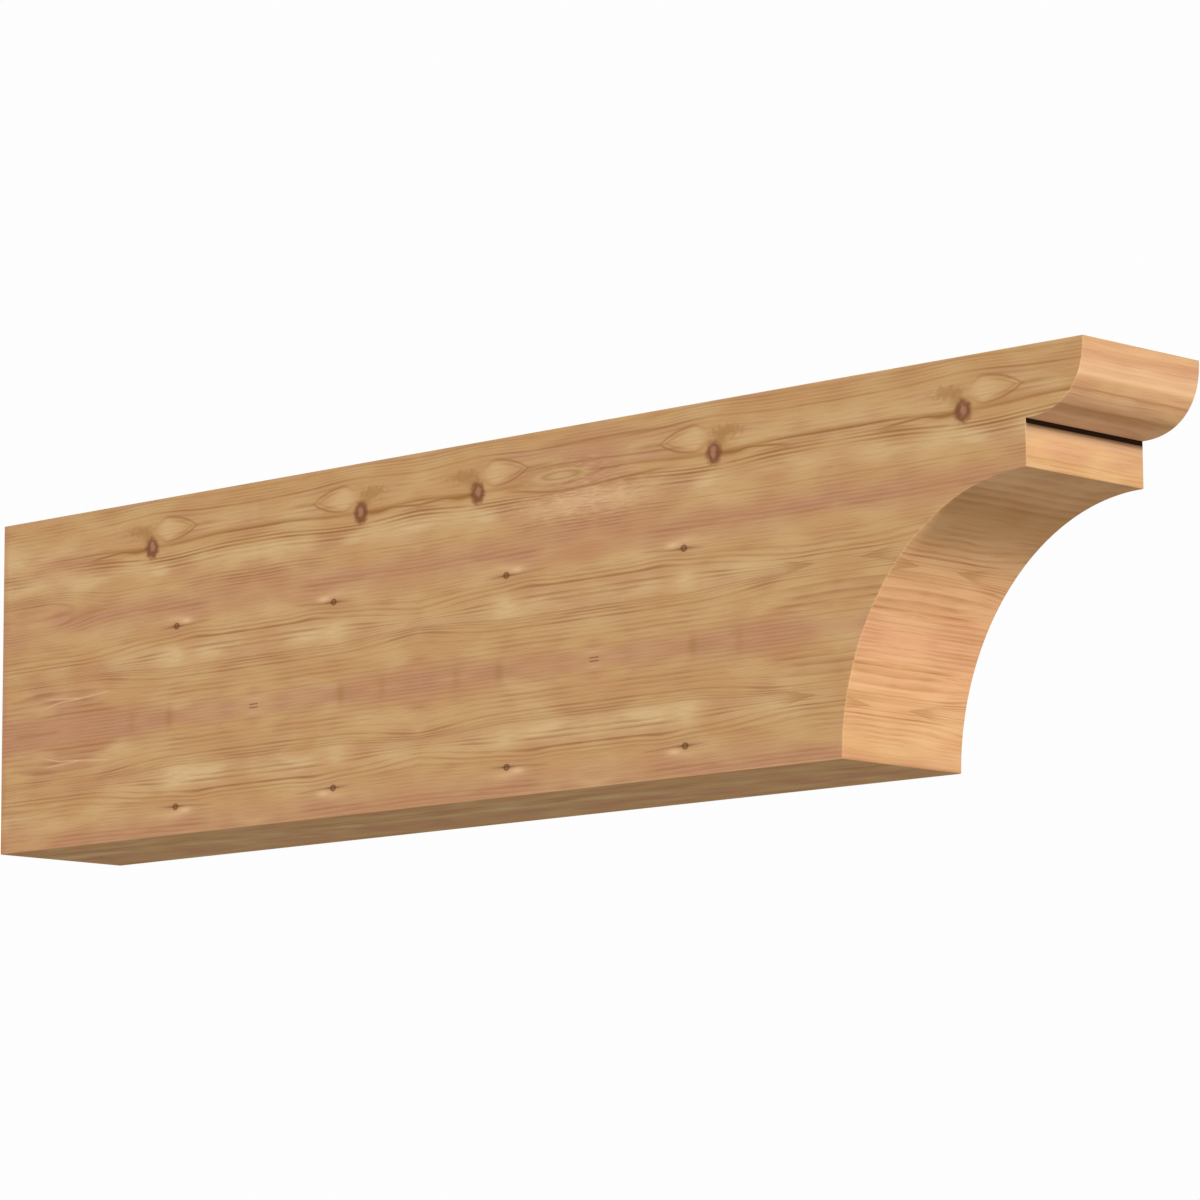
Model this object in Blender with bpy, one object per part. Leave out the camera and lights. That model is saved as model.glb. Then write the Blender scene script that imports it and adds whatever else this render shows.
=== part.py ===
"""A carved rafter tail: one planed timber whose lower front corner is cut away to an ovolo, a fillet and a cove.

The timber lies along X with its carved tip at +X, and its thickness is along Y. Its underside is on z = 0, and the
origin is under the middle of its length and thickness. Sizes are in metres.
"""

from math import cos, pi, radians, sin

import bmesh
import bpy

# The squared timber, a nominal 6 by 12 inch stick planed on four sides and cut square at the butt
TIMBER_LENGTH = 1.2192
TIMBER_HEIGHT = 0.2921
TIMBER_THICKNESS = 0.1397

# The ovolo: a full quarter round that starts at the tip's top edge and turns under to the fillet
OVOLO_HEIGHT = 0.0548
OVOLO_DEPTH = 0.0548
OVOLO_POWER = 2.3

# The fillet: a narrow upright face, set back from the tip by the ovolo's depth
FILLET_HEIGHT = 0.0365

# The cove: a hollow quarter ellipse that starts level at the fillet's foot and ends upright at the underside
COVE_RUN = 0.1826
COVE_RISE = TIMBER_HEIGHT - OVOLO_HEIGHT - FILLET_HEIGHT
ELLIPSE_POWER = 2.0

# Facets along each curve, about 3 mm long
OVOLO_STEPS = 32
COVE_STEPS = 96
CREASE_ANGLE = radians(20)

# Planed western red cedar, as linear colour
CEDAR_COLOUR = (0.55, 0.31, 0.16, 1.0)
CEDAR_ROUGHNESS = 0.6


def remove_scene_objects():
    """Empties the scene of whatever it opened with."""
    for old in list(bpy.data.objects):
        bpy.data.objects.remove(old, do_unlink=True)


def quarter_curve(centre, run, rise, power, steps):
    """The points of a quarter superellipse in the XZ plane, from the end of its run to the top of its rise.

    Power 2 gives a true ellipse, and a higher power gives a fuller curve. A negative run or rise turns it over.
    """
    centre_x, centre_z = centre
    points = []
    for step in range(steps + 1):
        angle = 0.5 * pi * step / steps
        along = max(cos(angle), 0.0) ** (2.0 / power)
        up = sin(angle) ** (2.0 / power)
        points.append((centre_x + run * along, centre_z + rise * up))
    return points


def timber_profile():
    """The outline of the timber's side, as (x, z) from the foot of the butt, round by the top and the carved end."""
    fillet_x = TIMBER_LENGTH - OVOLO_DEPTH
    butt = [(0.0, 0.0), (0.0, TIMBER_HEIGHT)]
    ovolo = quarter_curve((fillet_x, TIMBER_HEIGHT), OVOLO_DEPTH, -OVOLO_HEIGHT, OVOLO_POWER, OVOLO_STEPS)
    cove = quarter_curve((fillet_x, 0.0), -COVE_RUN, COVE_RISE, ELLIPSE_POWER, COVE_STEPS)
    cove.reverse()
    return butt + ovolo + cove


def extruded_mesh(name, profile, thickness):
    """A closed solid: the profile in the XZ plane, extruded through a thickness that is centred on y = 0."""
    solid = bmesh.new()
    near_side = solid.faces.new([solid.verts.new((x, -0.5 * thickness, z)) for x, z in profile])
    extruded = bmesh.ops.extrude_face_region(solid, geom=[near_side], use_keep_orig=True)
    far_verts = [item for item in extruded["geom"] if isinstance(item, bmesh.types.BMVert)]
    bmesh.ops.translate(solid, verts=far_verts, vec=(0.0, thickness, 0.0))
    bmesh.ops.recalc_face_normals(solid, faces=solid.faces)
    mesh = bpy.data.meshes.new(name)
    solid.to_mesh(mesh)
    solid.free()
    mesh.shade_smooth()
    mesh.set_sharp_from_angle(angle=CREASE_ANGLE)
    return mesh


def cedar_material():
    """Plain planed cedar, with no finish on it."""
    cedar = bpy.data.materials.new("cedar")
    cedar.use_nodes = True
    shader = cedar.node_tree.nodes["Principled BSDF"]
    shader.inputs["Base Color"].default_value = CEDAR_COLOUR
    shader.inputs["Roughness"].default_value = CEDAR_ROUGHNESS
    shader.inputs["Metallic"].default_value = 0.0
    return cedar


def add_rafter_tail():
    """The one piece, placed so that the origin is under the middle of its length."""
    mesh = extruded_mesh("rafter_tail", timber_profile(), TIMBER_THICKNESS)
    mesh.materials.append(cedar_material())
    rafter_tail = bpy.data.objects.new("rafter_tail", mesh)
    rafter_tail.location.x = -0.5 * TIMBER_LENGTH
    bpy.context.scene.collection.objects.link(rafter_tail)
    return rafter_tail


remove_scene_objects()
add_rafter_tail()
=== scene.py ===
"""The looks of a carved rafter tail: planed, unfinished western red cedar, seen from a little below."""

from collections import namedtuple
from math import cos, pi, radians, sin

import bmesh
import bpy
from mathutils import Matrix, Vector


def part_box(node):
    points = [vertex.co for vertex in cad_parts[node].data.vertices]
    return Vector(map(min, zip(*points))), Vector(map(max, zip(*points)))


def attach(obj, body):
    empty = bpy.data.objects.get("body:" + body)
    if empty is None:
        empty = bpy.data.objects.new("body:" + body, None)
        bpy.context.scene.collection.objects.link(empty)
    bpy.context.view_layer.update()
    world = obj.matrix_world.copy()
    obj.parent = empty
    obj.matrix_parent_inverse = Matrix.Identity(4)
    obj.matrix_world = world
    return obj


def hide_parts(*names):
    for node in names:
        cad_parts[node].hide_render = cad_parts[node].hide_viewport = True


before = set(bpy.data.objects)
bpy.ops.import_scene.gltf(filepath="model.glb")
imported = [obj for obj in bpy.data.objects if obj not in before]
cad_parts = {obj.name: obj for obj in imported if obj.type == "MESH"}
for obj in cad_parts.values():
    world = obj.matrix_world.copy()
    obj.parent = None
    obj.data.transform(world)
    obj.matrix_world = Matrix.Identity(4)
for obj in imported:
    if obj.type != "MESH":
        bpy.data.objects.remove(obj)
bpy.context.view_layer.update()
TIMBER_LOW, TIMBER_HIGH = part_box("rafter_tail")
BUTT_X, TIP_X = TIMBER_LOW.x, TIMBER_HIGH.x
NEAR_Y, FAR_Y = TIMBER_LOW.y, TIMBER_HIGH.y
TOP_Z = TIMBER_HIGH.z

# The moulded end, as the solid has it
OVOLO_HEIGHT = 0.0548
OVOLO_DEPTH = 0.0548
OVOLO_POWER = 2.3
FILLET_HEIGHT = 0.0365
COVE_RUN = 0.1826
ELLIPSE_POWER = 2.0
OVOLO_STEPS = 64
COVE_STEPS = 200

# Every outer edge is eased with a few strokes of a plane
ARRIS = 0.0008
ARRIS_STEPS = 2
ARRIS_ROUNDNESS = 0.5
EDGE_ANGLE = radians(30)
CREASE_ANGLE = radians(20)

# The grain map: how far along the grain and how far across it each point lies, in metres. Each face of the
# timber takes its own stretch of the map, so the figure differs from face to face. The carved end lies past
# CARVED_SPAN. A face whose normal leans further than FACING towards an axis faces along that axis.
GRAIN_MAP = "grain"
FAR_SIDE_START = 3.0
TOP_START = 5.0
UNDERSIDE_START = 7.0
BUTT_START = 9.0
CARVED_SPAN = (15.0, 16.0)
CARVED_START = 20.9285
CARVED_DROP = 0.0085
FACING = 0.7


def srgb(red, green, blue):
    """A colour given as 0 to 255 on a screen, as linear RGBA by the standard curve for screens."""
    linear = []
    for value in (red, green, blue):
        share = value / 255.0
        linear.append(share / 12.92 if share <= 0.04045 else ((share + 0.055) / 1.055) ** 2.4)
    return (*linear, 1.0)


TAN = srgb(192, 150, 102)
PALE = srgb(207, 174, 127)
PINK = srgb(185, 136, 104)
RUSSET = srgb(187, 135, 96)
LATEWOOD = srgb(154, 108, 60)
# The colour of the painted warm light on the carved end
PAINTED_WARM_LIGHT = srgb(206, 151, 110)
STREAK = srgb(216, 174, 134)
SMUDGE = srgb(160, 117, 70)
KNOT_RIM = srgb(122, 78, 50)
KNOT_HEART = srgb(160, 112, 88)
PIN_KNOT = srgb(100, 60, 32)
# The colour of the painted shadow in the corner under the ovolo
CORNER_SHADOW = srgb(46, 27, 14)
END_EARLYWOOD = srgb(184, 141, 98)
END_LATEWOOD = srgb(138, 94, 57)
WHITE = (1.0, 1.0, 1.0, 1.0)

# What the figure is made of. A place is along the grain, then across it, and a size is a half width each way.
# A bend is where growth rings are pushed aside, and how far. A share is what noise scales to, and its mean.
# The two values of a fade, an edge, a start or an end are where it is at nothing and where it is full.
# Blender's noise lies about NOISE_MEAN, and a stroke is whole over STROKE_FADE of its length.
Noise = namedtuple("Noise", "along_size across_size seed detail", defaults=(1.0,))
Share = namedtuple("Share", "spread mean")
Bend = namedtuple("Bend", "across along push")
Band = namedtuple("Band", "height half_width amount")
Spot = namedtuple("Spot", "place size amount", defaults=(1.0,))
Stroke = namedtuple("Stroke", "path half_width amount", defaults=(1.0,))
NOISE_MEAN = 0.5
NOISE_SPREAD = 3.0
STROKE_FADE = 0.6

# A Mix node's colour sockets
MIX_FIRST = 6
MIX_SECOND = 7
MIX_RESULT = 2

# The figure repeats, mirrored, about these places along the grain and about one height. Places on it are given
# as the distance from the nearest of those places, then the distance from that height.
MIRROR_PLACES = (0.327, 0.723, 1.234, 3.35, 3.95, 20.723, 21.234)
MIRROR_DROP = 0.1906

# Marks that aren't mirrored along the grain, as the distance from the butt and the drop from the top
BUTT_EYE = (0.090, 0.1906)
TOP_EYE = (0.6875, 0.0387)
TOP_EYE_SIZE = (0.0195, 0.0031)
TOP_EYE_HALO = (2.2, 1.2)
TOP_EYE_HALO_AMOUNT = 0.55
TOP_EYE_RIM = Band(0.95, 0.30, 0.65)
CATHEDRAL_TIP = (0.1400, 0.0880)

# Fine fibres, and a slow drift that breaks up what would be too even
FIBRE = Noise(0.030, 0.0009, 3.3, detail=2.0)
DRIFT = Noise(0.060, 0.018, 4.1)
FIBRE_DARKNESS = 0.38

# How the growth rings wander, and how they bend: round the large knots, into the arrow tips, under the pin
# knots, along the slope between the arrow tips and the knots, round the top eye and into the cathedral tip
WANDER = Noise(0.090, 0.030, 1.3)
WANDER_PUSH = 0.0007
KNOT_BEND = Bend(across=(0.1580, 0.0160), along=(0.1220, 0.0550), push=0.0042)
ARROW_BEND = Bend(across=(0.0500, 0.0100), along=(0.09, 0.23), push=0.0085)
PIN_BEND = Bend(across=(0.0690, 0.0080), along=(0.0750, 0.0200), push=0.0018)
SLOPE_BEND = Bend(across=(0.0980, 0.0200), along=(0.05, 0.20), push=0.0030)
EYE_BEND = Bend(across=(TOP_EYE[1], 0.0090), along=(TOP_EYE[0], 0.0420), push=0.0070)
TIP_BEND = Bend(across=(CATHEDRAL_TIP[1], 0.0110), along=(0.155, 0.060), push=0.0100)

# Growth rings: each has a dark edge, which comes up slowly and ends sharply. The spacing sways.
RING_WIDTH = 0.0034
RING_SWAY = 0.0014
RING_SWAY_RATE = 170.0
RING_SEED = 0.5
RING_RISE = (0.20, 0.78)
RING_FALL = (1.0, 0.88)
RING_SHARE = Share(0.66, 0.39)
RING_DARKNESS = 0.92
CARVED_RING_GAIN = 0.08
QUIET_BANDS = (Band(0.0, 0.0140, 0.55), Band(0.0960, 0.0150, 0.30))

# The strongest growth lines. Those further out than KNOTTY_LEVEL belong to the knots, and fade at the butt,
# near the top eye and on the carved end.
GROWTH_LINES = (
    Band(0.0112, 0.0010, 0.34),
    Band(0.0331, 0.0007, 0.46),
    Band(0.0372, 0.0005, 0.24),
    Band(0.0416, 0.0008, 0.44),
    Band(0.0643, 0.0007, 0.40),
    Band(0.0687, 0.0008, 0.56),
    Band(0.0722, 0.0006, 0.46),
    Band(0.1172, 0.0006, 0.34),
    Band(0.1391, 0.0008, 0.48),
    Band(0.1426, 0.0006, 0.38),
    Band(0.1520, 0.0013, 0.70),
    Band(0.1742, 0.0008, 0.50),
    Band(0.1862, 0.0012, 0.40),
)
GROWTH_LINE_SHARE = Share(0.35, 0.85)
KNOTTY_LEVEL = 0.13
KNOTTY_START = (0.085, 0.150)
KNOTTY_CARVED_LOSS = 0.85
KNOTTY_EYE_LOSS = Band(TOP_EYE[0] + 0.030, 0.070, 0.65)

# The ground colours, in bands and spots that blotches break up. PINK_SPOTS and RUSSET_SPOTS are placed by the
# distance from the butt and the drop from the top.
BLOTCH = Noise(0.0700, 0.0260, 2.2)
PALE_LOW_BAND = Band(0.0525, 0.0110, 0.36)
PALE_LOW_FADE = (0.260, 0.120)
PALE_SIDE_BAND = Band(0.1320, 0.0080, 0.45)
PALE_BUTT_BAND = Band(0.1560, 0.0060, 0.45)
PALE_BUTT_FADE = (0.160, 0.060)
PALE_SPOTS = (
    Spot((0.0560, 0.0535), (0.0210, 0.0075), 0.80),
    Spot((0.1000, 0.0525), (0.0110, 0.0075), 0.70),
    Spot((0.1180, 0.1275), (0.0120, 0.0042), 0.90),
    Spot((0.0650, 0.1590), (0.0300, 0.0050), 0.35),
)
PALE_SHARE = Share(0.42, 0.10)
PINK_MIDDLE_BAND = Band(0.0, 0.0115, 0.76)
PINK_OUTER_BAND = Band(0.0970, 0.0170, 0.62)
PINK_OVOLO_BAND = Band(0.1870, 0.0040, 0.50)
PINK_OVOLO_START = (0.1000, 0.1300)
PINK_OVOLO_AMOUNT = 0.50
PINK_SPOTS = (
    Spot(BUTT_EYE, (0.0750, 0.0420), 0.85),
    Spot((0.7150, 0.0350), (0.0750, 0.0400), 0.75),
    Spot((0.0800, 0.0500), (0.0600, 0.0140), 0.60),
)
PINK_SHARE = Share(0.58, -0.04)
RUSSET_REPEATED_SPOT = Spot((0.1950, 0.0160), (0.0200, 0.0060))
RUSSET_SPOTS = (
    Spot((0.7200, 0.1040), (0.0380, 0.0090)),
    Spot((0.1200, 0.1450), (0.0300, 0.0120), 0.9),
)
RUSSET_BUTT_EDGE = (0.010, 0.003)
RUSSET_BUTT_AMOUNT = 0.8
RUSSET_STRENGTH = 0.8
RUSSET_BLOTCH = 0.36
# A warmer, lighter tint over the carved end, strongest low in the cove where the key falls: painted warm light
PAINTED_WARM_LIGHT_BAND = Band(0.0, 0.0700, 0.65)
PAINTED_WARM_LIGHT_EVERYWHERE = 0.05

# Torn fibres: speckled pale patches below the top eye, pale and dark strokes at the butt, and dark strokes
# round the top eye. All are placed by the distance from the butt, then the butt's strokes by the distance from
# the mirrored height and the others by the drop from the top.
CURL = Noise(0.0110, 0.0090, 5.7)
CURL_PUSH = 0.0006
TORN_DRIFT_PUSH = 0.0020
SPECKLE = Noise(0.0130, 0.0013, 8.8, detail=2.0)
SPECKLE_CURL = 0.18
LOWER_PATCH = Spot((0.7150, 0.0620), (0.0680, 0.0140), 1.10)
LOWER_PATCH_SPECKLE = (-0.7, 1.1)
UPPER_PATCH = Spot((0.7050, 0.0360), (0.0600, 0.0100), 0.70)
UPPER_PATCH_SPECKLE = (-0.2, 1.2)
BUTT_PALE_STROKES = (
    Stroke(((0.046, 0.0206), (0.085, 0.0262), (0.155, 0.0300)), 0.0007),
    Stroke(((0.055, 0.0300), (0.110, 0.0272)), 0.0006),
)
BUTT_DARK_STROKES = (
    Stroke(((0.040, 0.0140), (0.095, 0.0152), (0.160, 0.0142)), 0.0010),
    Stroke(((0.010, 0.0006), (0.085, 0.0)), 0.0013, 0.7),
)
EYE_DARK_STROKES = (
    Stroke(((0.610, 0.0440), (0.688, 0.0512), (0.820, 0.0465)), 0.0012, 1.25),
    Stroke(((0.620, 0.0320), (0.688, 0.0298), (0.830, 0.0325)), 0.0010),
    Stroke(((0.650, 0.0148), (0.740, 0.0138), (0.830, 0.0146)), 0.0010, 1.1),
)
PALE_STROKE_AMOUNT = 0.65
DARK_STROKE_AMOUNT = 0.60

# Large knots, each with a heart, a smudge above it and a dark tail
KNOT_PLACE = (0.1297, 0.1487)
KNOT_SIZE = (0.0083, 0.0094)
KNOT_EDGE = (1.30, 0.62)
KNOT_AMOUNT = 0.95
RAGGED = Noise(0.0050, 0.0040, 6.1)
KNOT_RAGGED = 0.16
HEART_PLACE = (0.1291, 0.1497)
HEART_SIZE = (0.0036, 0.0050)
HEART_EDGE = (0.30, 1.30)
HEART_RAGGED = 0.35
SMUDGE_PLACE = (0.1440, 0.1645)
SMUDGE_SIZE = (0.0170, 0.0056)
SMUDGE_EDGE = (1.30, 0.30)
SMUDGE_RAGGED = 0.42
SMUDGE_AMOUNT = 0.68
KNOT_SHOULDER = Spot((0.1355, 0.1580), (0.0075, 0.0070), 0.70)
KNOT_TAIL = Spot((0.1460, 0.1474), (0.0170, 0.0026), 0.9)
KNOT_TAIL_STROKES = (
    Stroke(((0.126, 0.1494), (0.150, 0.1474), (0.166, 0.1490), (0.215, 0.1462)), 0.0010),
    Stroke(((0.134, 0.1395), (0.220, 0.1440)), 0.0008, 0.7),
)
KNOT_TAIL_AMOUNT = 0.92

# A pale loop of grain beside each large knot, pointed at its tip and closing behind the knot
LOOP_TIP = (0.0734, 0.1627)
LOOP_REACH = 0.0470
LOOP_HALF_HEIGHT = 0.0108
LOOP_POWER = 0.85
LOOP_CLOSING = (0.1370, 0.1080)
LOOP_UNEVENNESS = 0.0005
LOOP_START = (0.066, 0.074)
LOOP_END = (0.1320, 0.1270)
LOOP_FILL_EDGE = (0.0, -0.0050)
LOOP_FILL_START = (0.15, 0.80)
LOOP_FILL_END = (0.1310, 0.1100)
LOOP_FILL_SHARE = Share(0.45, 0.55)
LOOP_OUTLINE_HALF_WIDTH = 0.0010
LOOP_OUTLINE_END = (0.1270, 0.1030)
LOOP_OUTLINE_SHARE = Share(0.35, 0.56)
LOOP_INNER_LINE = Band(-0.0034, 0.0008, 0.42)
LOOP_INNER_FADE = (0.80, 0.35)
LOOP_AHEAD = Spot((0.0600, LOOP_TIP[1]), (0.0170, 0.0020), 0.55)

# Arrow heads in the grain, where the growth lines run to a point
ARROW_TIP = (0.2335, 0.0504)
ARROW_TAPER = 0.17
ARROW_BODY = (0.0020, -0.0040)
ARROW_BODY_AMOUNT = 0.72
ARROW_EDGE = Band(-0.0010, 0.0022, 0.35)
ARROW_TAIL = (0.0400, 0.0170)
ARROW_START = (0.20, 0.30)
ARROW_AMOUNT = 0.75
CATHEDRAL_AMOUNT = 0.45

# Pin knots, each with a tail both ways and a pale tear beside it
PIN_PLACE = (0.0973, 0.0776)
PIN_SIZE = (0.0034, 0.0028)
PIN_EDGE = (1.25, 0.75)
PIN_SHARE = Share(0.75, 0.22)
PIN_TAIL = Spot(PIN_PLACE, (0.0085, 0.0010), 0.55)
PIN_TAIL_STROKES = (Stroke(((0.045, 0.0790), (0.097, 0.0774), (0.124, 0.0768)), 0.0006, 0.36),)
TEARS = (
    Spot((0.0852, 0.0812), (0.0075, 0.0022)),
    Spot((0.0990, 0.0840), (0.0110, 0.0024), 0.4),
)
TEAR_SHARE = Share(0.25, 0.95)

# Marks along the mirrored height: two upright smudges, and paired ticks with a pale blot
WIDE_SMUDGE = Spot((0.1060, 0.0020), (0.0048, 0.0065))
WIDE_SMUDGE_SHARE = Share(0.25, 0.60)
TALL_SMUDGE = Spot((0.1550, 0.0), (0.0050, 0.0100))
TALL_SMUDGE_SHARE = Share(0.25, 0.42)
TICK = Band(0.0014, 0.0005, 0.95)
TICK_ENDS = (0.0062, 0.0038)
TICK_BLOT = Spot((0.0, 0.0060), (0.0080, 0.0022), 0.28)

# The carved end: soft bands all over it, grain lines and painted highlights on the ovolo, painted light on the
# ovolo's underside and a band of painted shade in the upper part of the cove
UPPER_PART = (0.20, 0.15)
CARVED_WAVE = 0.0006
CARVED_BANDS = Noise(0.1600, 0.0075, 9.4)
CARVED_BANDS_AMOUNT = 0.30
# A band of painted shade in the upper part of the cove, where the ovolo and the fillet shadow it
PAINTED_COVE_SHADE_BAND = Band(0.0890, 0.0095, 0.38)
# The STREAK bands are painted highlights on the ovolo's lit upper part, the LATEWOOD and SMUDGE bands grain
# lines
OVOLO_LINES_AND_PAINTED_HIGHLIGHTS = (
    (STREAK, Band(0.1800, 0.0055, 0.42)),
    (STREAK, Band(0.1725, 0.0026, 0.72)),
    (LATEWOOD, Band(0.1622, 0.0007, 0.60)),
    (SMUDGE, Band(0.1505, 0.0018, 0.55)),
)
# Painted light from below: a paler band on the ovolo's underside and the top of the fillet
PAINTED_UNDERSIDE_LIGHT_START = (0.1290, 0.1340)
PAINTED_UNDERSIDE_LIGHT_END = (0.1500, 0.1460)
PAINTED_UNDERSIDE_LIGHT_AMOUNT = 0.40

# The painted shadow under the ovolo, a dark corner line with a soft foot, by how far below the corner a point
# lies
CORNER_TOP = (-0.0004, 0.0)
CORNER_LINE = (0.0042, 0.0030)
CORNER_FOOT = (0.0150, 0.0020)
CORNER_FOOT_AMOUNT = 0.50
FILLET_FACE = (0.0006, 0.0003)

# The butt: growth rings centred on the pith, fine rays and slanting saw marks. The pith is given as the
# distance from the near side and the drop from the top.
PITH = (0.045, 0.430)
END_WANDER = Noise(0.050, 0.050, 2.4)
END_WANDER_PUSH = 0.0012
END_RING_WIDTH = 0.0036
END_RING_SWAY = 0.0030
END_RING_SWAY_RATE = 130.0
END_RING_SEED = 2.5
END_RING_RISE = (0.50, 0.93)
END_RING_FALL = (1.0, 0.95)
END_RING_SHARE = Share(0.75, 0.10)
RAYS = Noise(0.0035, 0.030, 6.6)
END_BLOTCH = Noise(0.040, 0.060, 5.2)
END_BLOTCH_AMOUNT = 0.10
SAW_MARKS = Noise(0.120, 0.0014, 7.9)
SAW_SLANT = 0.25
SAW_AND_RAY_AMOUNT = 0.14
END_DARKENING = 0.04

# Surface
ROUGHNESS = 0.7
END_ROUGHNESS = 0.85
SHEEN = 0.06
FIBRE_RELIEF = 0.0001
FIBRE_RELIEF_STRENGTH = 0.6
END_RELIEF = 0.0002
END_RELIEF_STRENGTH = 0.5
SAW_RELIEF_SHARE = 0.7
RAY_RELIEF_SHARE = 0.4
RING_RELIEF_SHARE = 0.3

# Camera, in the row's frame
CAMERA_PLACE = (3.0151, -3.1025, -0.4853)
CAMERA_HEADING = radians(43.669)
CAMERA_CLIMB = radians(8.590)
CAMERA_ROLL = radians(-0.236)
CAMERA_LENS = 161.04
SENSOR_WIDTH = 36.0

# Stage
FLOOR_GAP = 0.0003
FLOOR_REACH = 30.0
FLOOR_COLOUR = (0.80, 0.79, 0.77, 1.0)
FLOOR_ROUGHNESS = 0.9
KEY_HEADING = radians(4.0)
KEY_HEIGHT = radians(21.5)
KEY_STRENGTH = 3.15
KEY_WIDTH = radians(7.0)
FILL_HEADING = radians(0.0)
FILL_HEIGHT = radians(-45.0)
FILL_STRENGTH = 1.26
SIDE_HEADING = radians(90.0)
SIDE_HEIGHT = radians(0.0)
SIDE_STRENGTH = 2.30
BACK_HEADING = radians(-135.0)
BACK_HEIGHT = radians(35.0)
BACK_STRENGTH = 2.3
SOFT_WIDTH = radians(50.0)
SKY_LIGHT = 0.215
SKY_SEEN = 0.985


def quarter_curve(centre, run, rise, power, steps):
    """The points of a quarter superellipse in the XZ plane, from the end of its run to the top of its rise."""
    centre_x, centre_z = centre
    points = []
    for step in range(steps + 1):
        angle = 0.5 * pi * step / steps
        along = max(cos(angle), 0.0) ** (2.0 / power)
        up = sin(angle) ** (2.0 / power)
        points.append((centre_x + run * along, centre_z + rise * up))
    return points


def timber_profile():
    """The outline of the timber's side, as (x, z) from the foot of the butt, by the top and the carved end."""
    fillet_x = TIP_X - OVOLO_DEPTH
    cove_rise = TOP_Z - OVOLO_HEIGHT - FILLET_HEIGHT
    butt = [(BUTT_X, 0.0), (BUTT_X, TOP_Z)]
    ovolo = quarter_curve((fillet_x, TOP_Z), OVOLO_DEPTH, -OVOLO_HEIGHT, OVOLO_POWER, OVOLO_STEPS)
    cove = quarter_curve((fillet_x, 0.0), -COVE_RUN, cove_rise, ELLIPSE_POWER, COVE_STEPS)
    cove.reverse()
    return butt + ovolo + cove


def grain_place(point, normal):
    """Where a point of a face with this normal lies on the grain map."""
    from_butt = point.x - BUTT_X
    from_near = point.y - NEAR_Y
    drop = TOP_Z - point.z
    if normal.y < -FACING:
        return from_butt, drop
    if normal.y > FACING:
        return FAR_SIDE_START + from_butt, drop
    if normal.z > FACING and drop < ARRIS:
        return TOP_START + from_butt, from_near
    if normal.z < -FACING and point.z < ARRIS:
        return UNDERSIDE_START + from_butt, from_near
    if normal.x < -FACING and from_butt < ARRIS:
        return BUTT_START + from_near, drop
    return CARVED_START + from_near, drop - CARVED_DROP


def is_butt(face):
    """Whether a face belongs to the square-cut butt."""
    return face.normal.x < -FACING and face.calc_center_median().x < BUTT_X + ARRIS


def timber_mesh():
    """The timber, with eased edges, the grain map and a second material on the butt."""
    solid = bmesh.new()
    side = solid.faces.new([solid.verts.new((x, NEAR_Y, z)) for x, z in timber_profile()])
    extruded = bmesh.ops.extrude_face_region(solid, geom=[side], use_keep_orig=True)
    far_verts = [item for item in extruded["geom"] if isinstance(item, bmesh.types.BMVert)]
    bmesh.ops.translate(solid, verts=far_verts, vec=(0.0, FAR_Y - NEAR_Y, 0.0))
    bmesh.ops.recalc_face_normals(solid, faces=solid.faces)
    bmesh.ops.bevel(
        solid,
        geom=[edge for edge in solid.edges if edge.calc_face_angle_signed() > EDGE_ANGLE],
        offset=ARRIS,
        segments=ARRIS_STEPS,
        profile=ARRIS_ROUNDNESS,
        affect="EDGES",
    )
    grain = solid.loops.layers.uv.new(GRAIN_MAP)
    for face in solid.faces:
        face.smooth = True
        face.material_index = 1 if is_butt(face) else 0
        for loop in face.loops:
            loop[grain].uv = grain_place(loop.vert.co, face.normal)
    mesh = bpy.data.meshes.new("rafter_tail_timber")
    solid.to_mesh(mesh)
    solid.free()
    mesh.set_sharp_from_angle(angle=CREASE_ANGLE)
    return mesh


class Field:
    """A number that varies over the surface: a node's output, on which arithmetic adds Math nodes."""

    def __init__(self, socket):
        self.socket = socket

    def __add__(self, other):
        return combined("ADD", self, other)

    def __radd__(self, other):
        return combined("ADD", other, self)

    def __sub__(self, other):
        return combined("SUBTRACT", self, other)

    def __rsub__(self, other):
        return combined("SUBTRACT", other, self)

    def __mul__(self, other):
        return combined("MULTIPLY", self, other)

    def __truediv__(self, other):
        return combined("DIVIDE", self, other)

    def __pow__(self, other):
        return combined("POWER", self, other)

    def __abs__(self):
        return combined("ABSOLUTE", self)


def combined(operation, *values):
    """One Math node on fields and plain numbers."""
    tree = next(value.socket.id_data for value in values if isinstance(value, Field))
    node = tree.nodes.new("ShaderNodeMath")
    node.operation = operation
    for socket, value in zip(node.inputs, values):
        if isinstance(value, Field):
            tree.links.new(value.socket, socket)
        else:
            socket.default_value = value
    return Field(node.outputs[0])


def clamped(field):
    """The field, held between 0 and 1."""
    return combined("MINIMUM", combined("MAXIMUM", field, 0.0), 1.0)


def uneven(field, share):
    """Noise, scaled to vary by a share's spread about its mean."""
    return field * share.spread + share.mean


def ramp(field, start, end):
    """Rises smoothly from 0 where the field is at start to 1 where it is at end."""
    tree = field.socket.id_data
    node = tree.nodes.new("ShaderNodeMapRange")
    node.interpolation_type = "SMOOTHSTEP"
    tree.links.new(field.socket, node.inputs["Value"])
    node.inputs["From Min"].default_value = start
    node.inputs["From Max"].default_value = end
    return Field(node.outputs["Result"])


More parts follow.
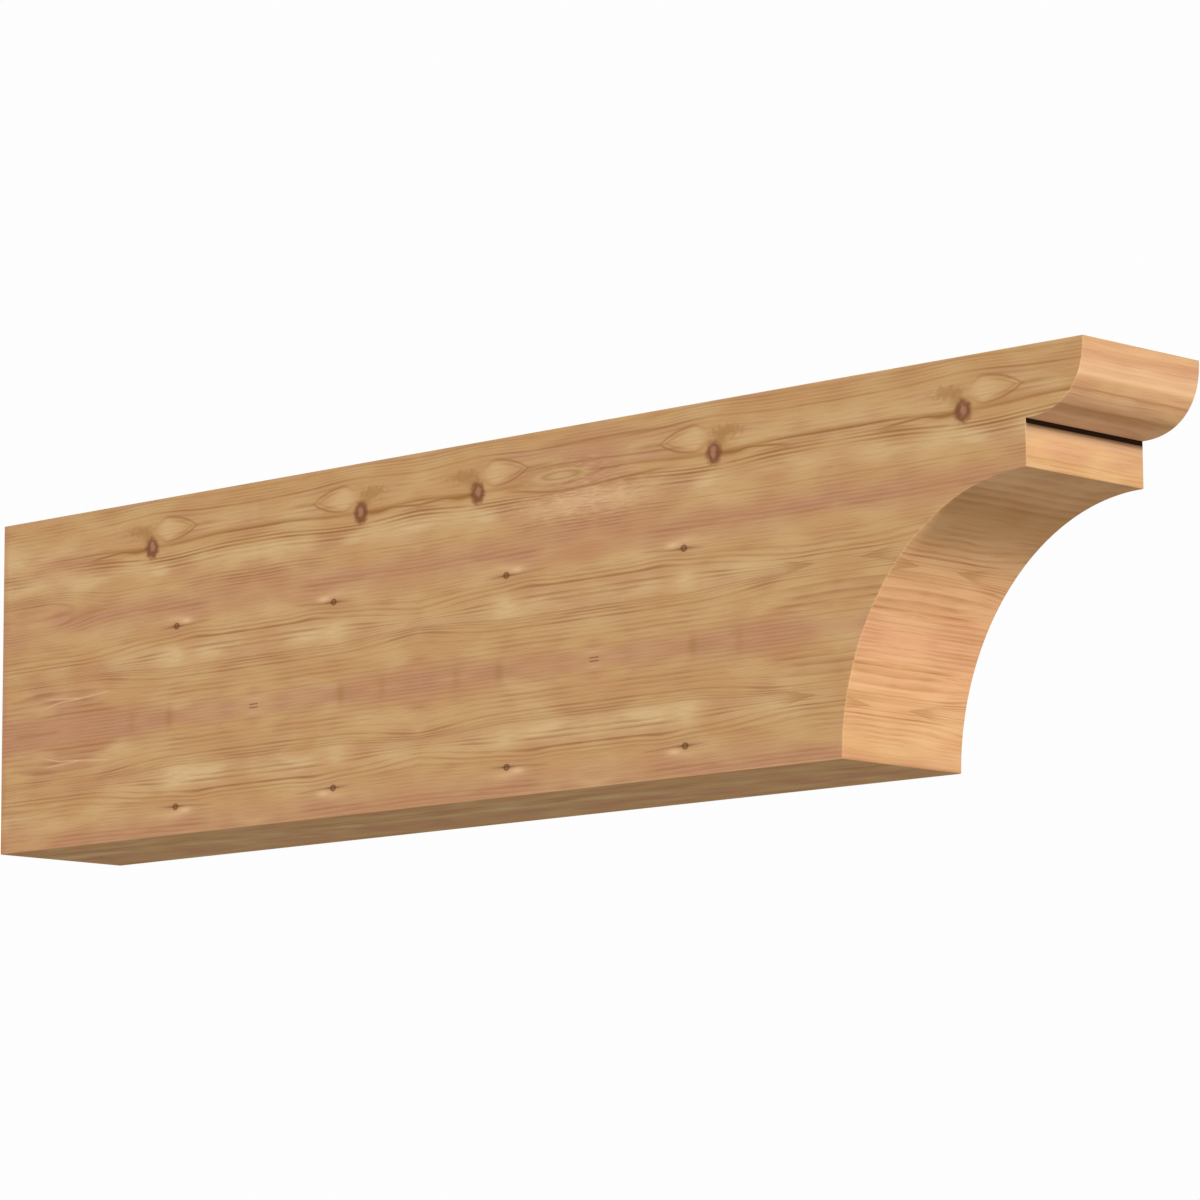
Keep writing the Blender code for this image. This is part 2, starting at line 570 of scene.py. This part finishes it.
def noise(along, across, kind):
    """Smooth noise from about -1 to 1, in blotches of about the kind's two sizes."""
    tree = along.socket.id_data
    place = tree.nodes.new("ShaderNodeCombineXYZ")
    tree.links.new((along / kind.along_size + kind.seed).socket, place.inputs[0])
    tree.links.new((across / kind.across_size + kind.seed).socket, place.inputs[1])
    node = tree.nodes.new("ShaderNodeTexNoise")
    node.noise_dimensions = "2D"
    node.inputs["Scale"].default_value = 1.0
    node.inputs["Detail"].default_value = kind.detail
    tree.links.new(place.outputs[0], node.inputs["Vector"])
    return (Field(node.outputs["Fac"]) - NOISE_MEAN) * NOISE_SPREAD


def chance(field, seed):
    """A random number from 0 to 1 for each whole number that the field holds."""
    tree = field.socket.id_data
    node = tree.nodes.new("ShaderNodeTexWhiteNoise")
    node.noise_dimensions = "1D"
    tree.links.new((field + seed).socket, node.inputs["W"])
    return Field(node.outputs["Value"])


def hump(field, centre, half_width):
    """1 where the field is at centre, falling away as a bell curve."""
    offset = (field - centre) / half_width
    return combined("EXPONENT", offset * offset * -1.0)


def wave(field, centre, reach):
    """1 at one reach beyond the centre, -1 at one reach before it, and dying away on both sides."""
    offset = (field - centre) / reach
    return offset * combined("EXPONENT", 0.5 - offset * offset * 0.5)


def oval(along, across, centre, size):
    """How far out a point is from the centre of an oval, which is 1 on its outline."""
    a = (along - centre[0]) / size[0]
    b = (across - centre[1]) / size[1]
    return combined("SQRT", a * a + b * b)


def band(height, mark):
    """A soft band along the grain."""
    return hump(height, mark.height, mark.half_width) * mark.amount


def spot(along, across, mark):
    """A soft spot, falling away as a bell curve over its two sizes."""
    a = (along - mark.place[0]) / mark.size[0]
    b = (across - mark.place[1]) / mark.size[1]
    return combined("EXPONENT", (a * a + b * b) * -1.0) * mark.amount


def stroke(along, across, mark):
    """A soft line through the points of a stroke's path, fading out at both ends."""
    path = mark.path
    height = path[0][1]
    for (start, low), (end, high) in zip(path, path[1:]):
        height = ramp(along, start, end) * (high - low) + height
    middle = 0.5 * (path[0][0] + path[-1][0])
    half_length = 0.5 * (path[-1][0] - path[0][0])
    ends = ramp(abs(along - middle), half_length, STROKE_FADE * half_length)
    return hump(across - height, 0.0, mark.half_width) * ends * mark.amount


def spots(along, across, marks):
    """Several spots in one field."""
    return sum(spot(along, across, mark) for mark in marks)


def strokes(along, across, marks):
    """Several strokes in one field."""
    return sum(stroke(along, across, mark) for mark in marks)


def mixed(first, second, amount):
    """A colour that goes from first to second as the amount goes from 0 to 1."""
    tree = amount.socket.id_data
    node = tree.nodes.new("ShaderNodeMix")
    node.data_type = "RGBA"
    tree.links.new(amount.socket, node.inputs[0])
    for socket, value in ((node.inputs[MIX_FIRST], first), (node.inputs[MIX_SECOND], second)):
        if isinstance(value, tuple):
            socket.default_value = value
        else:
            tree.links.new(value, socket)
    return node.outputs[MIX_RESULT]


def grain_map_fields(tree):
    """The two coordinates of the grain map."""
    grain_map = tree.nodes.new("ShaderNodeUVMap")
    grain_map.uv_map = GRAIN_MAP
    split = tree.nodes.new("ShaderNodeSeparateXYZ")
    tree.links.new(grain_map.outputs[0], split.inputs[0])
    return Field(split.outputs[0]), Field(split.outputs[1])


class Figure:
    """The fields that the wood's figure is drawn from.

    length and drop are the grain map's own coordinates, and along and across are the mirrored ones. level is
    across with the bends of the grain taken out, and carved is 1 on the carved end and 0 elsewhere.
    """

    def __init__(self, tree):
        self.length, self.drop = grain_map_fields(tree)
        self.along = abs(self.length - MIRROR_PLACES[0])
        for place in MIRROR_PLACES[1:]:
            self.along = combined("MINIMUM", self.along, abs(self.length - place))
        self.across = abs(self.drop - MIRROR_DROP)
        self.carved = ramp(self.length, *CARVED_SPAN)
        self.level = self.growth_level()
        self.fibre = noise(self.along, self.level, FIBRE)
        self.drift = noise(self.along, self.across, DRIFT)

    def growth_level(self):
        """The distance across the grain at which a point's growth ring lies where nothing pushes it aside."""
        level = self.across + noise(self.along, self.across, WANDER) * WANDER_PUSH
        level -= wave(self.across, *KNOT_BEND.across) * hump(self.along, *KNOT_BEND.along) * KNOT_BEND.push
        level += wave(self.across, *ARROW_BEND.across) * ramp(self.along, *ARROW_BEND.along) * ARROW_BEND.push
        level -= hump(self.across, *PIN_BEND.across) * hump(self.along, *PIN_BEND.along) * PIN_BEND.push
        level += hump(self.across, *SLOPE_BEND.across) * ramp(self.along, *SLOPE_BEND.along) * SLOPE_BEND.push
        level += wave(self.drop, *EYE_BEND.across) * hump(self.length, *EYE_BEND.along) * EYE_BEND.push
        level += wave(self.drop, *TIP_BEND.across) * ramp(self.length, *TIP_BEND.along) * TIP_BEND.push
        return level


def growth_lines(figure):
    """How dark the growth lines make each point, from 0 to 1."""
    swaying = figure.level + combined("SINE", figure.level * RING_SWAY_RATE) * RING_SWAY
    rings = swaying / RING_WIDTH
    ring = combined("FLOOR", rings)
    within = rings - ring
    fine = ramp(within, *RING_RISE) * ramp(within, *RING_FALL)
    quiet = 1.0 - sum(band(figure.across, mark) for mark in QUIET_BANDS)
    dark = fine * chance(ring, RING_SEED) * clamped(uneven(figure.drift, RING_SHARE)) * quiet
    knotty = ramp(figure.length, *KNOTTY_START) * (1.0 - figure.carved * KNOTTY_CARVED_LOSS)
    knotty *= 1.0 - band(figure.length, KNOTTY_EYE_LOSS)
    near_lines = sum(band(figure.level, mark) for mark in GROWTH_LINES if mark.height <= KNOTTY_LEVEL)
    knot_lines = sum(band(figure.level, mark) for mark in GROWTH_LINES if mark.height > KNOTTY_LEVEL)
    strong = (near_lines + knot_lines * knotty) * clamped(uneven(figure.drift, GROWTH_LINE_SHARE))
    return clamped(dark * (figure.carved * CARVED_RING_GAIN + RING_DARKNESS) + strong)


def pale_amount(figure):
    """How far the tan ground is paled, before blotches."""
    along, across = figure.along, figure.across
    pale = band(across, PALE_LOW_BAND) * ramp(along, *PALE_LOW_FADE)
    pale += band(across, PALE_SIDE_BAND) * (1.0 - figure.carved)
    pale += band(across, PALE_BUTT_BAND) * ramp(figure.length, *PALE_BUTT_FADE)
    return pale + spots(along, across, PALE_SPOTS)


def pink_amount(figure):
    """How far the ground is turned pinkish, before its drift."""
    across = figure.across
    in_upper_part = figure.carved * ramp(figure.drop, *UPPER_PART)
    on_ovolo = band(across, PINK_OVOLO_BAND) + ramp(across, *PINK_OVOLO_START) * PINK_OVOLO_AMOUNT
    pink = band(across, PINK_MIDDLE_BAND) + band(across, PINK_OUTER_BAND) * (1.0 - in_upper_part)
    return pink + figure.carved * on_ovolo + spots(figure.length, figure.drop, PINK_SPOTS)


def russet_amount(figure):
    """How far the ground is turned russet, before blotches."""
    russet = spots(figure.length, figure.drop, RUSSET_SPOTS)
    russet += spot(figure.along, figure.across, RUSSET_REPEATED_SPOT)
    return russet + ramp(figure.length, *RUSSET_BUTT_EDGE) * RUSSET_BUTT_AMOUNT


def ground_colour(figure):
    """Pale, tan and pinkish bands along the grain, each broken up a little."""
    blotch = noise(figure.length, figure.drop, BLOTCH)
    colour = mixed(TAN, PALE, clamped(pale_amount(figure) + uneven(blotch, PALE_SHARE)))
    colour = mixed(colour, PINK, clamped(pink_amount(figure) + uneven(figure.drift, PINK_SHARE)))
    colour = mixed(colour, RUSSET, clamped(russet_amount(figure) * RUSSET_STRENGTH - blotch * RUSSET_BLOTCH))
    # Painted warm light on the carved end
    colour = mixed(colour, PAINTED_WARM_LIGHT, clamped(figure.carved * (band(figure.across, PAINTED_WARM_LIGHT_BAND) + PAINTED_WARM_LIGHT_EVERYWHERE)))
    return mixed(colour, LATEWOOD, clamped(figure.fibre * FIBRE_DARKNESS))


def with_torn_fibres(figure, colour):
    """Short pale streaks around the two places where the figure isn't mirrored."""
    length, drop, across = figure.length, figure.drop, figure.across
    curl = noise(length, drop, CURL)
    waved = drop + figure.drift * TORN_DRIFT_PUSH + curl * CURL_PUSH
    speckle = noise(length, waved, SPECKLE) + curl * SPECKLE_CURL
    lower = ramp(speckle, *LOWER_PATCH_SPECKLE) * spot(length, drop, LOWER_PATCH)
    upper = ramp(speckle, *UPPER_PATCH_SPECKLE) * spot(length, drop, UPPER_PATCH)
    colour = mixed(mixed(colour, STREAK, clamped(lower)), STREAK, clamped(upper))
    pale = strokes(length, across, BUTT_PALE_STROKES)
    dark = strokes(length, across, BUTT_DARK_STROKES) + strokes(length, drop, EYE_DARK_STROKES)
    colour = mixed(colour, STREAK, clamped(pale * PALE_STROKE_AMOUNT))
    return mixed(colour, LATEWOOD, clamped(dark * DARK_STROKE_AMOUNT))


def with_top_eye(figure, colour):
    """A small flat eye in the grain, near the top edge and the middle of the length."""
    reach = oval(figure.length, figure.drop, TOP_EYE, TOP_EYE_SIZE)
    colour = mixed(colour, PALE, ramp(reach, *TOP_EYE_HALO) * TOP_EYE_HALO_AMOUNT)
    return mixed(colour, SMUDGE, band(reach, TOP_EYE_RIM))


def with_loops(figure, colour):
    """The pale pointed loop of grain beside each large knot, and the dark line ahead of its tip."""
    along, on_sides = figure.along, 1.0 - figure.carved
    reach = clamped((along - LOOP_TIP[0]) / LOOP_REACH)
    rise = (2.0 - reach) * reach ** LOOP_POWER * ramp(along, *LOOP_CLOSING)
    off_axis = abs(figure.across - LOOP_TIP[1])
    past_outline = off_axis - rise * LOOP_HALF_HEIGHT - figure.drift * LOOP_UNEVENNESS
    in_reach = ramp(along, *LOOP_END) * on_sides
    inside = ramp(past_outline, *LOOP_FILL_EDGE) * ramp(reach, *LOOP_FILL_START) * ramp(along, *LOOP_FILL_END)
    colour = mixed(colour, PALE, clamped(inside * in_reach * uneven(figure.fibre, LOOP_FILL_SHARE)))
    outline = hump(past_outline, 0.0, LOOP_OUTLINE_HALF_WIDTH) * ramp(along, *LOOP_OUTLINE_END)
    inner_line = band(past_outline, LOOP_INNER_LINE) * ramp(reach, *LOOP_INNER_FADE)
    lines = clamped(outline * uneven(figure.drift, LOOP_OUTLINE_SHARE) + inner_line)
    colour = mixed(colour, LATEWOOD, lines * in_reach * ramp(along, *LOOP_START))
    return mixed(colour, LATEWOOD, spot(along, figure.across, LOOP_AHEAD) * on_sides)


def arrow(along, across, tip):
    """A long arrow head that points up the grain, darker at its edge and fading at its tail."""
    past_edge = abs(across - tip[1]) / ARROW_TAPER + along - tip[0]
    body = ramp(past_edge, *ARROW_BODY) * ARROW_BODY_AMOUNT + band(past_edge, ARROW_EDGE)
    return body * ramp(tip[0] - along, *ARROW_TAIL)


def with_arrows(figure, colour):
    """The arrow tips of the growth lines, and the cathedral tip near the butt."""
    arrows = arrow(figure.along, figure.across, ARROW_TIP) * ramp(figure.length, *ARROW_START) * ARROW_AMOUNT
    arrows += arrow(figure.length, figure.drop, CATHEDRAL_TIP) * CATHEDRAL_AMOUNT
    return mixed(colour, SMUDGE, clamped(arrows))


def with_knots(figure, colour):
    """Large round knots, each with a smudge above it and a dark tail."""
    along, across = figure.along, figure.across
    ragged = noise(figure.length, figure.drop, RAGGED)
    smudge = oval(along, across, SMUDGE_PLACE, SMUDGE_SIZE) + ragged * SMUDGE_RAGGED
    colour = mixed(colour, SMUDGE, ramp(smudge, *SMUDGE_EDGE) * SMUDGE_AMOUNT)
    colour = mixed(colour, SMUDGE, spot(along, across, KNOT_SHOULDER))
    tail = strokes(along, across, KNOT_TAIL_STROKES) + spot(along, across, KNOT_TAIL)
    colour = mixed(colour, LATEWOOD, clamped(tail * KNOT_TAIL_AMOUNT) * (1.0 - figure.carved))
    reach = oval(along, across, KNOT_PLACE, KNOT_SIZE) + ragged * KNOT_RAGGED
    heart = oval(along, across, HEART_PLACE, HEART_SIZE) + ragged * HEART_RAGGED
    wood = mixed(KNOT_HEART, KNOT_RIM, ramp(heart, *HEART_EDGE))
    return mixed(colour, wood, ramp(reach, *KNOT_EDGE) * KNOT_AMOUNT)


def with_pin_knots(figure, colour):
    """Small dark knots, each with a tail both ways and a pale tear beside it."""
    along, across = figure.along, figure.across
    tear = spots(along, across, TEARS) * uneven(figure.fibre, TEAR_SHARE)
    colour = mixed(colour, STREAK, clamped(tear))
    tail = strokes(along, across, PIN_TAIL_STROKES) + spot(along, across, PIN_TAIL)
    colour = mixed(colour, PIN_KNOT, clamped(tail))
    reach = oval(along, across, PIN_PLACE, PIN_SIZE)
    return mixed(colour, PIN_KNOT, ramp(reach, *PIN_EDGE) * clamped(uneven(reach, PIN_SHARE)))


def with_middle_marks(figure, colour):
    """Marks along the mirrored height: paired ticks with pale blots, and two upright smudges."""
    along, across = figure.along, figure.across
    smudge = spot(along, across, WIDE_SMUDGE) * uneven(figure.fibre, WIDE_SMUDGE_SHARE)
    smudge += spot(along, across, TALL_SMUDGE) * uneven(figure.fibre, TALL_SMUDGE_SHARE)
    colour = mixed(colour, SMUDGE, clamped(smudge))
    colour = mixed(colour, STREAK, spot(along, across, TICK_BLOT))
    return mixed(colour, KNOT_RIM, band(across, TICK) * ramp(along, *TICK_ENDS))


def with_carved_marks(figure, colour):
    """The carved end's bands and its painted highlights, light and shade, and the ovolo's grain lines."""
    height = figure.across + figure.drift * CARVED_WAVE
    bands = noise(figure.length, height, CARVED_BANDS) * CARVED_BANDS_AMOUNT
    colour = mixed(colour, SMUDGE, clamped(bands) * figure.carved)
    colour = mixed(colour, STREAK, clamped(0.0 - bands) * figure.carved)
    # Painted shade in a band in the upper part of the cove
    dull = band(height, PAINTED_COVE_SHADE_BAND) * ramp(figure.drop, *UPPER_PART)
    colour = mixed(colour, SMUDGE, dull * figure.carved)
    # Grain lines, and painted highlights on the ovolo's lit upper part
    for tint, mark in OVOLO_LINES_AND_PAINTED_HIGHLIGHTS:
        colour = mixed(colour, tint, band(height, mark) * figure.carved)
    # Painted light from below on the ovolo's underside
    foot = ramp(height, *PAINTED_UNDERSIDE_LIGHT_END) * ramp(height, *PAINTED_UNDERSIDE_LIGHT_START) * PAINTED_UNDERSIDE_LIGHT_AMOUNT
    return mixed(colour, STREAK, foot * figure.carved)


def with_corner_shadow(figure, colour):
    """The painted shadow in the corner under the ovolo, a dark line on the carved end alone."""
    tree = figure.length.socket.id_data
    coordinates = tree.nodes.new("ShaderNodeTexCoord")
    place = tree.nodes.new("ShaderNodeSeparateXYZ")
    tree.links.new(coordinates.outputs["Object"], place.inputs[0])
    out, height = Field(place.outputs[0]), Field(place.outputs[2])
    below = TOP_Z - OVOLO_HEIGHT - height
    on_fillet = ramp(abs(out - (TIP_X - OVOLO_DEPTH)), *FILLET_FACE)
    in_corner = clamped(ramp(below, *CORNER_LINE) + ramp(below, *CORNER_FOOT) * CORNER_FOOT_AMOUNT)
    # Painted shadow under the ovolo, on the fillet of the carved end
    shadow = in_corner * ramp(below, *CORNER_TOP) * on_fillet * figure.carved
    return mixed(colour, CORNER_SHADOW, shadow)


def finished(tree, colour, roughness, relief_field, relief_depth, relief_strength):
    """Sets a material's colour, its dull finish and its fine relief."""
    shader = tree.nodes["Principled BSDF"]
    tree.links.new(colour, shader.inputs["Base Color"])
    shader.inputs["Roughness"].default_value = roughness
    shader.inputs["Specular IOR Level"].default_value = SHEEN
    relief = tree.nodes.new("ShaderNodeBump")
    relief.inputs["Strength"].default_value = relief_strength
    relief.inputs["Distance"].default_value = relief_depth
    tree.links.new(relief_field.socket, relief.inputs["Height"])
    tree.links.new(relief.outputs[0], shader.inputs["Normal"])


def cedar_material():
    """The long faces and the carved end."""
    material = bpy.data.materials.new("cedar_long_grain")
    material.use_nodes = True
    figure = Figure(material.node_tree)
    colour = mixed(ground_colour(figure), LATEWOOD, growth_lines(figure))
    for draw in (
        with_torn_fibres,
        with_top_eye,
        with_loops,
        with_arrows,
        with_knots,
        with_pin_knots,
        with_middle_marks,
        with_carved_marks,
        with_corner_shadow,
    ):
        colour = draw(figure, colour)
    finished(material.node_tree, colour, ROUGHNESS, figure.fibre, FIBRE_RELIEF, FIBRE_RELIEF_STRENGTH)
    return material


def end_grain_material():
    """The square-cut butt: growth rings curve across it, crossed by fine rays and saw marks."""
    material = bpy.data.materials.new("cedar_end_grain")
    material.use_nodes = True
    breadth, drop = grain_map_fields(material.node_tree)
    breadth = breadth - BUTT_START
    radius = oval(breadth, drop, PITH, (1.0, 1.0)) + noise(breadth, drop, END_WANDER) * END_WANDER_PUSH
    rings = (radius + combined("SINE", radius * END_RING_SWAY_RATE) * END_RING_SWAY) / END_RING_WIDTH
    ring = combined("FLOOR", rings)
    within = rings - ring
    edge = ramp(within, *END_RING_RISE) * ramp(within, *END_RING_FALL)
    latewood = edge * uneven(chance(ring, END_RING_SEED), END_RING_SHARE)
    rays = noise(combined("ARCTAN2", breadth - PITH[0], PITH[1] - drop), radius, RAYS)
    blotch = noise(breadth, drop, END_BLOTCH)
    saw_marks = noise(breadth + drop * SAW_SLANT, drop, SAW_MARKS)
    colour = mixed(END_EARLYWOOD, END_LATEWOOD, clamped(latewood + blotch * END_BLOTCH_AMOUNT))
    crossed = (saw_marks + rays) * SAW_AND_RAY_AMOUNT + END_DARKENING
    colour = mixed(colour, END_LATEWOOD, clamped(crossed))
    relief = saw_marks * SAW_RELIEF_SHARE + rays * RAY_RELIEF_SHARE - latewood * RING_RELIEF_SHARE
    finished(material.node_tree, colour, END_ROUGHNESS, relief, END_RELIEF, END_RELIEF_STRENGTH)
    return material


def add_timber():
    """The one piece, which stands for the CAD solid."""
    timber = bpy.data.objects.new("rafter_tail_timber", timber_mesh())
    timber.data.materials.append(cedar_material())
    timber.data.materials.append(end_grain_material())
    bpy.context.scene.collection.objects.link(timber)
    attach(timber, "root")
    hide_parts("rafter_tail")


def floor_material():
    """Matt and pale from above, and clear from below."""
    material = bpy.data.materials.new("floor")
    material.use_nodes = True
    tree = material.node_tree
    shader = tree.nodes["Principled BSDF"]
    shader.inputs["Base Color"].default_value = FLOOR_COLOUR
    shader.inputs["Roughness"].default_value = FLOOR_ROUGHNESS
    side = tree.nodes.new("ShaderNodeNewGeometry")
    clear = tree.nodes.new("ShaderNodeBsdfTransparent")
    choose = tree.nodes.new("ShaderNodeMixShader")
    tree.links.new(side.outputs["Backfacing"], choose.inputs[0])
    tree.links.new(shader.outputs[0], choose.inputs[1])
    tree.links.new(clear.outputs[0], choose.inputs[2])
    tree.links.new(choose.outputs[0], tree.nodes["Material Output"].inputs["Surface"])
    return material


def add_floor():
    """A pale floor under the timber. It takes the timber's shadow and can be looked up through from below."""
    shape = bmesh.new()
    bmesh.ops.create_grid(shape, size=FLOOR_REACH)
    mesh = bpy.data.meshes.new("floor")
    shape.to_mesh(mesh)
    shape.free()
    floor = bpy.data.objects.new("floor", mesh)
    floor.location.z = -FLOOR_GAP
    floor.data.materials.append(floor_material())
    floor.visible_diffuse = False
    floor.visible_glossy = False
    floor.visible_shadow = False
    bpy.context.scene.collection.objects.link(floor)


def add_sun(name, heading, height, strength, width):
    """A distant light, by its heading from +X round towards the camera and its height above the horizon."""
    lamp = bpy.data.lights.new(name, "SUN")
    lamp.energy = strength
    lamp.angle = width
    sun = bpy.data.objects.new(name, lamp)
    towards = Vector((cos(heading) * cos(height), -sin(heading) * cos(height), sin(height)))
    sun.rotation_mode = "QUATERNION"
    sun.rotation_quaternion = towards.to_track_quat("Z", "Y")
    bpy.context.scene.collection.objects.link(sun)


def add_sky():
    """A plain white sky, dim where it lights the timber and bright where it is seen behind it."""
    world = bpy.data.worlds.new("studio")
    world.use_nodes = True
    tree = world.node_tree
    light = tree.nodes["Background"]
    light.inputs["Strength"].default_value = SKY_LIGHT
    light.inputs["Color"].default_value = WHITE
    seen = tree.nodes.new("ShaderNodeBackground")
    seen.inputs["Strength"].default_value = SKY_SEEN
    seen.inputs["Color"].default_value = WHITE
    path = tree.nodes.new("ShaderNodeLightPath")
    choose = tree.nodes.new("ShaderNodeMixShader")
    tree.links.new(path.outputs["Is Camera Ray"], choose.inputs[0])
    tree.links.new(light.outputs[0], choose.inputs[1])
    tree.links.new(seen.outputs[0], choose.inputs[2])
    tree.links.new(choose.outputs[0], tree.nodes["World Output"].inputs["Surface"])
    bpy.context.scene.world = world
    bpy.context.scene.view_settings.view_transform = "Standard"


def add_lights():
    """A low key, a fill from below, soft light on the near side and from the back, and a sky."""
    add_sun("key", KEY_HEADING, KEY_HEIGHT, KEY_STRENGTH, KEY_WIDTH)
    add_sun("fill", FILL_HEADING, FILL_HEIGHT, FILL_STRENGTH, SOFT_WIDTH)
    add_sun("side", SIDE_HEADING, SIDE_HEIGHT, SIDE_STRENGTH, SOFT_WIDTH)
    add_sun("back", BACK_HEADING, BACK_HEIGHT, BACK_STRENGTH, SOFT_WIDTH)
    add_sky()


def add_camera():
    """The photograph's view: from in front of the carved end and a little below the timber."""
    lens = bpy.data.cameras.new("camera")
    lens.lens = CAMERA_LENS
    lens.sensor_width = SENSOR_WIDTH
    camera = bpy.data.objects.new("camera", lens)
    level = cos(CAMERA_CLIMB)
    forward = Vector((-sin(CAMERA_HEADING) * level, cos(CAMERA_HEADING) * level, sin(CAMERA_CLIMB)))
    aimed = forward.to_track_quat("-Z", "Y").to_matrix() @ Matrix.Rotation(CAMERA_ROLL, 3, "Z")
    camera.matrix_world = Matrix.Translation(CAMERA_PLACE) @ aimed.to_4x4()
    bpy.context.scene.collection.objects.link(camera)
    bpy.context.scene.camera = camera


add_timber()
add_floor()
add_lights()
add_camera()
